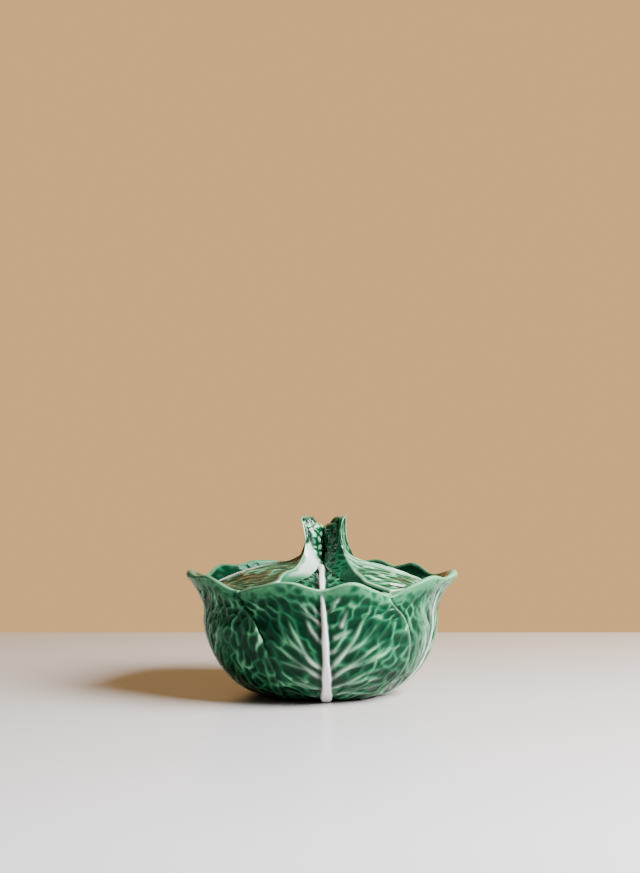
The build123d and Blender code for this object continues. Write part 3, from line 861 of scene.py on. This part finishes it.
def lid_core():
    """Underside of the lid with its flange, and the edge that sits on the ledge."""
    points = [(LID_RADIUS - 1.2, SEAT_HEIGHT), (LID_RADIUS - 0.3, SEAT_HEIGHT + 0.7),
              (LID_RADIUS, SEAT_HEIGHT + 2), (LID_RADIUS - 0.6, LID_EDGE_TOP - 0.9)]
    points += [(r, dome_height(r) - CORE_DEPTH) for r in np.linspace(92, 0.01, 30)]
    under = [(r, dome_height(r) - DOME_THICKNESS) for r in np.linspace(0.01, 79, 34)]
    points += under + [(81.6, 94.3), (82.5, 90), (82.5, 84.8), (83, 84.2), (84.4, 84), (86, 84.2),
                       (86.5, 84.8), (86.5, 90.4), (87.2, SEAT_HEIGHT), (90, SEAT_HEIGHT)]
    piece = turned_mesh("lid_core", points, LID_GLAZE, 0.5)
    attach(piece, "lid")
    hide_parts("lid_dome")


def dome_leaf(name, centre, seed):
    """Front or back leaf of the lid, lying on the dome with its base at the lid's edge."""
    radius = np.linspace(LID_RADIUS - 0.4, 9, 132)[:, None]
    angle = centre + np.linspace(-54, 54, 270)[None, :]
    top = polar(angle, radius, dome_height(radius))
    leaf_map = LeafMap(seed, 96, 100, (9.0, 8.0), (2.0, 1.5), (46, 30))
    leaf_map.draw_veins(-4, 66, 17.0, 48, 24, 60, 1, 0.5)
    leaf_map.draw_rib([(-6, 2.8), (40, 2.7), (69, 2.4), (73, 0.4)], (69, 72))
    leaf_map.fill()
    leaf_map.finish(1.9, 0.6, 1.5, 3.0)
    along = LID_RADIUS - radius
    across = np.radians(angle - centre) * radius
    relief, pale, white = leaf_map.look_up(across, along)
    near_edge = 1 - smooth(0.5, 5, along)
    normals = sheet_normals(top)
    normals = normals * np.sign(normals[60, 130, 2])
    moved = top + normals * (relief * (1 - 0.8 * near_edge) + 0.3)[..., None]
    edge = polar(angle, LID_RADIUS + np.array([[-1.5], [-1.2], [-0.6], [-0.1], [0.25], [0.2]]),
                 np.array([[91.4], [91.3], [91.6], [92.4], [93.5], [94.5]]))
    under_radius = np.linspace(12, 91, 12)[:, None]
    under = polar(angle, under_radius, dome_height(under_radius) - LEAF_BACK_DEPTH)
    grid = np.concatenate([edge, moved, under])
    layers = blank_layers(grid.shape[:2])
    rows = slice(len(edge), len(edge) + len(moved))
    layers["pale"][:len(edge)] = 0.6
    layers["pale"][rows] = pale
    layers["white"][rows] = white
    layers["lip"][rows] = 0.5 * near_edge
    piece = loop_mesh(name, grid, layers, 0, LID_GLAZE)
    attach(piece, "lid")
    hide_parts("lid_dome")


def flat_row(row, across, lift, turn):
    """Section of a side leaf where it lies on the dome."""
    rib_radius, margin_radius, half_angle = row
    radius = rib_radius + (margin_radius - rib_radius) * across ** 2
    return polar(turn + 90 + half_angle * across, radius, dome_height(radius) + lift)


def rising_row(row, across, turn, reach):
    """Section of a side leaf where it rises as half of the handle."""
    rib, front, back = row
    out = np.abs(across)
    curl = out ** LEAF_CURL_POWER
    margin = [np.where(across < 0, front[k] or 0.0, back[k] or 0.0) for k in range(3)]
    side = 1 if turn == 0 else -1
    x = HANDLE_SPLIT_X + side * reach * (rib[0] + (margin[0] - rib[0]) * curl - HANDLE_SPLIT_X)
    y = side * margin[1] * out
    if rib[2] is None:
        z = dome_height(np.hypot(x, y)) - LEAF_BEDDING
    else:
        z = rib[2] + (margin[2] - rib[2]) * curl
    return np.stack([x, y, z], axis=-1)


def refined_rows(sections, spacing):
    """Sections with smooth ones added between them, about evenly spaced."""
    last = len(sections) - 1
    rows = []
    for index in range(last):
        before, low, high, after = (sections[max(0, min(last, index + k))] for k in (-1, 0, 1, 2))
        gap = np.percentile(np.linalg.norm(high - low, axis=-1), 80)
        count = max(2, int(round(gap / spacing)))
        for step in range(count):
            part = step / count
            rows.append(low * (1.5 * part ** 3 - 2.5 * part ** 2 + 1)
                        + before * (-0.5 * part ** 3 + part ** 2 - 0.5 * part)
                        + high * (-1.5 * part ** 3 + 2 * part ** 2 + 0.5 * part)
                        + after * (0.5 * part ** 3 - 0.5 * part ** 2))
    return np.array(rows + [sections[last]])


def side_leaf_grid(turn, reach):
    """Side leaf without relief: its outer face, back side, inner face and front side, row by row."""
    outer_rows = LEAF_OUTER_ROWS
    if turn:
        outer_rows = [(rib, front, back)
                      for (rib, front, _), back in zip(LEAF_OUTER_ROWS, LEFT_FRONT_MARGIN)]
    rows = list(zip(LEAF_FLAT_OUTER_ROWS, LEAF_FLAT_INNER_ROWS)) + list(zip(outer_rows, LEAF_INNER_ROWS))
    part = SIDE_AT[:, None]
    sections = []
    for index, (outer_row, inner_row) in enumerate(rows):
        if index < len(LEAF_FLAT_OUTER_ROWS):
            outer = flat_row(outer_row, OUTER_AT, LEAF_THICKNESS, turn)
            inner = flat_row(inner_row, INNER_AT, -LEAF_BEDDING, turn)
        else:
            outer = rising_row(outer_row, OUTER_AT, turn, reach)
            inner = rising_row(inner_row, INNER_AT, turn, reach)
        sides = []
        for start, end in ((outer[-1], inner[0]), (inner[-1], outer[0])):
            high, low = (start, end) if start[2] > end[2] else (end, start)
            bend = high + (low - high) * 0.33
            bend[2] = low[2] + (high[2] - low[2]) * (0.34 if index < LOW_SECTIONS else 0.5)
            sides.append(start * (1 - part) ** 2 + bend * 2 * part * (1 - part) + end * part ** 2)
        sections.append(np.concatenate([outer, sides[0], inner, sides[1]]))
    grid = refined_rows(sections, ROW_SPACING)

    total = grid.shape[1]
    for corner, width in ((0, 7), (OUTER - 1, 7), (INNER_FIRST, 5), (INNER_FIRST + INNER - 1, 5)):
        away = np.abs((np.arange(total) - corner + total // 2) % total - total // 2)
        weight = (1 - smooth(width * 0.5, width, away))[None, :, None]
        for _ in range(9):
            softened = (np.roll(grid, 1, 1) + np.roll(grid, -1, 1)) / 2
            grid = grid + (softened - grid) * 0.5 * weight
    return grid


def end_caps(moved):
    """Rounded ends of a side leaf, as four rows more at its start and at its end."""
    middle = np.empty_like(moved)
    mirror = np.interp(INNER_AT[::-1], OUTER_AT, np.arange(OUTER)).round().astype(int)
    opposite = np.interp(OUTER_AT, INNER_AT[::-1], np.arange(INNER)).round().astype(int)
    inner = slice(INNER_FIRST, INNER_FIRST + INNER)
    middle[:, :OUTER] = (moved[:, :OUTER] + moved[:, INNER_FIRST + INNER - 1 - opposite]) / 2
    middle[:, inner] = (moved[:, inner] + moved[:, mirror[::-1]]) / 2
    middle[:, OUTER:INNER_FIRST] = middle[:, OUTER - 1:OUTER]
    middle[:, INNER_FIRST + INNER:] = middle[:, :1]
    caps = []
    for end, inward in ((0, 1), (len(moved) - 1, -1)):
        direction = unit(middle[end] - middle[end + inward])
        rounds = []
        for tilt in CAP_TILTS:
            turned = math.radians(tilt)
            out = CAP_LENGTH * math.sin(turned)
            rounds.append(middle[end] + (moved[end] - middle[end]) * math.cos(turned) + direction * out)
        caps.append(np.array(rounds))
    return caps[0][::-1], caps[1]


def side_map(seed, length, rib_width):
    """Veins and cells of a side leaf's outer face."""
    leaf_map = LeafMap(seed, 104, length + 4, (12.0, 11.0), (2.4, 1.7), (42, 4))
    leaf_map.draw_veins(-4, length * 0.45, 14.0, 30, 2, 110, 2, 1.0, 6.0)
    widths = [(-6, 1.5 * rib_width), (30, 1.7 * rib_width), (62, 1.4 * rib_width), (140, 0.9)]
    leaf_map.draw_rib(widths, (length * 0.62, length * 0.85))
    leaf_map.fill()
    return leaf_map.finish(2.6, 0.9, 1.5 * rib_width, 1.5)


def across_outer_face(grid):
    """Distance from the midrib, spread wider where the leaf narrows, so that its cells narrow too."""
    widths = np.linalg.norm(np.diff(grid[:, :OUTER], axis=1), axis=2)
    across = np.concatenate([np.zeros((len(grid), 1)), np.cumsum(widths, axis=1)], axis=1)
    across = across - across[:, OUTER // 2][:, None]
    half = np.maximum(np.abs(across[:, -1:]), 1)
    return across * (80 / np.clip(half, 20, 80)) ** 0.7


def loop_normals(grid):
    """Unit normals of a grid whose columns run round in a loop, looking outwards."""
    normals = unit(np.cross(np.roll(grid, -1, 1) - np.roll(grid, 1, 1), np.gradient(grid, axis=0)))
    return -normals if normals[10, OUTER // 2, 2] < 0 else normals


def side_leaf(name, node, turn, reach, seed, rib_width, tan, pale_gain, pebbled, flank):
    """Left or right leaf of the lid, whose narrow end rises as half of the handle.

    pebbled is the height that the inner face's pebbles start at, their size, their borders' width and
    paleness, and how much paler their tops are; where that is negative they are pits instead.
    flank is the paleness and whiteness of the smooth face below them; the whiteness, and on the left leaf
    most of the paleness, is a painted reflection of the window light.
    """
    pebble_from, pebble_size, border, border_pale, pebble_pale = pebbled
    flank_pale_and_reflection, flank_painted_reflection = flank
    grid = side_leaf_grid(turn, reach)
    rib_steps = np.linalg.norm(np.diff(grid[:, OUTER // 2], axis=0), axis=1)
    rows = np.concatenate([[0], np.cumsum(rib_steps)])[:, None]
    length = rows[-1, 0]
    across = across_outer_face(grid)
    relief, pale, white = side_map(seed, length, rib_width).look_up(across, rows)
    pale = pale * pale_gain
    from_margin = np.minimum(np.abs(across - across[:, :1]), np.abs(across[:, -1:] - across))
    fade = smooth(1.5, 7.0, from_margin) * smooth(0.5, 4.0, rows)
    fade *= 1 - smooth(length - 8, length - 2, rows)
    fade *= 0.6 + 0.4 * (1 - smooth(60, 85, rows))

    face = slice(0, OUTER)
    rest = slice(OUTER, None)
    rest_steps = np.linalg.norm(np.diff(grid[:, OUTER - 1:], axis=1), axis=2)
    rest_across = np.cumsum(rest_steps, axis=1)
    rest_edge = np.minimum(rest_across, rest_across[:, -1:] - rest_across)
    pebble = 1 - np.exp(-((pebbles(grid[:, rest], pebble_size, seed + 9) / border) ** 2))
    raised = pebble if pebble_pale > 0 else 1 - pebble
    inward = np.clip(12 - np.abs(grid[:, rest, 0] - HANDLE_SPLIT_X), -5, 12)
    reached = grid[:, rest, 2] + 2.2 * inward
    pebbly = smooth(pebble_from, pebble_from + PEBBLE_BLEND, reached) * smooth(1.0, 3.5, rest_edge)
    pebbly *= 1 - smooth(length - 6, length - 1, rows)

    offset = np.zeros(grid.shape[:2])
    offset[:, face] = relief * fade
    offset[:, rest] = (0.7 * raised + 0.35) * pebbly
    low_leaf = 1 - smooth(118, 126, grid[..., 2])
    offset += undulation(seed, grid, 34, 0.35) * (1 - 0.6 * low_leaf)
    moved = grid + loop_normals(grid) * offset[..., None]
    first_cap, last_cap = end_caps(moved)
    whole = np.concatenate([first_cap, moved, last_cap])

    layers = blank_layers(grid.shape[:2])
    near_tip = smooth(length - 8, length, rows)
    edge_pale = 0.62 * (1 - smooth(0.5, 5.5, from_margin))
    layers["pale"][:, face] = np.maximum(pale * (0.35 + 0.8 * fade), edge_pale)
    layers["white"][:, face] = white * (1 - smooth(length * 0.5, length * 0.8, rows))
    # Brown tint in the cells of the lower leaf, partly the glaze's own and partly a painted reflection of
    # the warm wall
    layers["tan"][:, face] = tan * (1 - smooth(60, 88, rows)) * (1 - 0.6 * np.clip(pale, 0, 1)) * (1 - white)
    layers["lip"][:, face] = 0.7 * (1 - smooth(0, 3.0, from_margin))
    layers["lip"][:, rest] = 0.8 * (1 - smooth(0, 3.2, rest_edge))
    layers["lip"] = np.maximum(layers["lip"], 0.55 * near_tip)
    layers["tan"] = np.maximum(layers["tan"], 0.35 * near_tip)
    height = grid[:, rest, 2]
    # Paleness of the smooth flank below the pebbles, darker low down; on the left leaf it is mostly a
    # painted reflection of the window light
    plain = flank_pale_and_reflection * (0.7 + 0.3 * smooth(1, 6, rest_edge)) * (1 - pebbly)
    plain *= 0.55 + 0.45 * smooth(104, 112, height)
    layers["pale"][:, rest] = plain + (border_pale + pebble_pale * pebble) * pebbly
    # Painted reflection of the window light: white over the smooth face of the flank, with an uneven edge
    uneven_edge = rest_edge + undulation(seed + 5, grid[:, rest], 15, 2.0)
    painted_reflection_area = (1 - pebbly) * smooth(107, 113, height) * (1 - smooth(134, 142, height))
    layers["white"][:, rest] = flank_painted_reflection * painted_reflection_area * smooth(3.0, 7.0, uneven_edge)
    ends = {"pale": 0.75, "lip": 0.7}
    layers = {key: np.pad(layer, ((len(first_cap), len(last_cap)), (0, 0)), constant_values=ends.get(key, 0))
              for key, layer in layers.items()}
    piece = loop_mesh(name, whole, layers, 1, LID_GLAZE)
    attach(piece, "lid")
    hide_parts(node)


# Camera, light and floor

CAMERA_PLACE = (-0.00135, -1.367, 0.229)
CAMERA_LENS = 62.6
WINDOW_PLACE = (1.2, -0.5, 1.05)
WINDOW_AIM = (0, 0, 0.06)
WINDOW_POWER = 150
WINDOW_COLOUR = (0.97, 0.985, 1.0)
ROOM_COLOUR = (0.085, 0.062, 0.045, 1)
STONE_NEAR = (0.8, 0.79, 0.82, 1)
STONE_FAR_PAINTED_SHADE = (0.44, 0.355, 0.29, 1)
WALL_COLOUR = (0.88, 0.515, 0.205, 1)
TABLE = [(-1.6, -1.6, 0), (1.6, -1.6, 0), (1.6, 0.408, 0), (-1.6, 0.408, 0)]
BACK_WALL = [(-1.1, 2.2, -0.8), (1.1, 2.2, -0.8), (1.1, 2.2, 1.3), (-1.1, 2.2, 1.3)]


def camera():
    """Level camera in front, a little above the object's top."""
    data = bpy.data.cameras.new("camera")
    data.lens = CAMERA_LENS
    piece = added("camera", data)
    piece.location = CAMERA_PLACE
    piece.rotation_euler = (math.radians(90), 0, 0)
    bpy.context.scene.camera = piece


def window():
    """Soft square window light from the right."""
    data = bpy.data.lights.new("window", "AREA")
    data.shape = "RECTANGLE"
    data.size = data.size_y = 1.0
    data.energy = WINDOW_POWER
    data.color = WINDOW_COLOUR
    piece = added("window", data)
    piece.location = WINDOW_PLACE
    x, y, z = np.array(WINDOW_AIM, float) - np.array(WINDOW_PLACE, float)
    piece.rotation_euler = (math.atan2(math.hypot(x, y), -z), 0, math.atan2(y, x) - math.pi / 2)


def flat_piece(name, corners, material):
    """One flat face, added to the scene."""
    mesh = bpy.data.meshes.new(name)
    mesh.from_pydata(corners, [], [(0, 1, 2, 3)])
    mesh.materials.append(material)
    piece = added(name, mesh)


def stage():
    """Pale table top with painted shade that makes it darker and warmer towards the back, and a warm wall
    behind it.
    """
    world = bpy.data.worlds.new("world")
    world.use_nodes = True
    world.node_tree.nodes["Background"].inputs["Color"].default_value = ROOM_COLOUR
    world.node_tree.nodes["Background"].inputs["Strength"].default_value = 1.0
    bpy.context.scene.world = world
    stone = Paint("pale_stone")
    place = stone.new("ShaderNodeSeparateXYZ")
    stone.link(stone.new("ShaderNodeTexCoord").outputs["Object"], place.inputs[0])
    # Painted shade: darker and warmer towards the back of the table top
    far = stone.scaled(place.outputs["Y"], -0.5, 0.4, 0, 1)
    stone.link(stone.mixed(far, STONE_NEAR, STONE_FAR_PAINTED_SHADE), stone.shader["Base Color"])
    stone.shader["Roughness"].default_value = 0.3
    flat_piece("table_top", TABLE, stone.material)
    wall = Paint("warm_wall")
    wall.shader["Base Color"].default_value = (0, 0, 0, 1)
    wall.shader["Specular IOR Level"].default_value = 0.0
    wall.shader["Emission Color"].default_value = WALL_COLOUR
    wall.shader["Emission Strength"].default_value = 1.0
    flat_piece("warm_wall", BACK_WALL, wall.material)


camera()
wall_leaf("wall_leaf_front", 0, 4, (LAPS["front"], LAPS["right"]), 11, FRONT_VEINS, (1.0, 1.0, 13.0), 0.5)
wall_leaf("wall_leaf_right", 69, -4, (LAPS["right"], LAPS["back"]), 23, (15, 30, 8), (0.45, 0.5, 12.0), 0.3)
wall_leaf("wall_leaf_back", 180, 4, (LAPS["back"], LAPS["left"]), 37, (14, 50, 18), (0.9, 1.0, 13.0), 0.1)
wall_leaf("wall_leaf_left", -78, 2, (LAPS["left"], LAPS["front"]), 41, (14, 48, 16), (0.5, 0.5, 8.0), 0.1)
bowl_core()
foot_ring()
lid_core()
dome_leaf("lid_leaf_front", 0, 5)
dome_leaf("lid_leaf_back", 180, 8)
side_leaf("lid_side_leaf_right", "lid_leaf_right", 0, 1.0, 15, 0.35, 0.12, 1.4,
          (100, 7.4, 1.5, 0.38, -0.37), (0.22, 0.0))
# The left leaf's flank is painted pale and white as a reflection of the window light
side_leaf("lid_side_leaf_left", "lid_leaf_left", 180, 0.9, 19, 0.55, 0.45, 1.0,
          (132, 5.6, 0.9, 0.2, 0.8), (0.82, 0.46))
stage()
window()
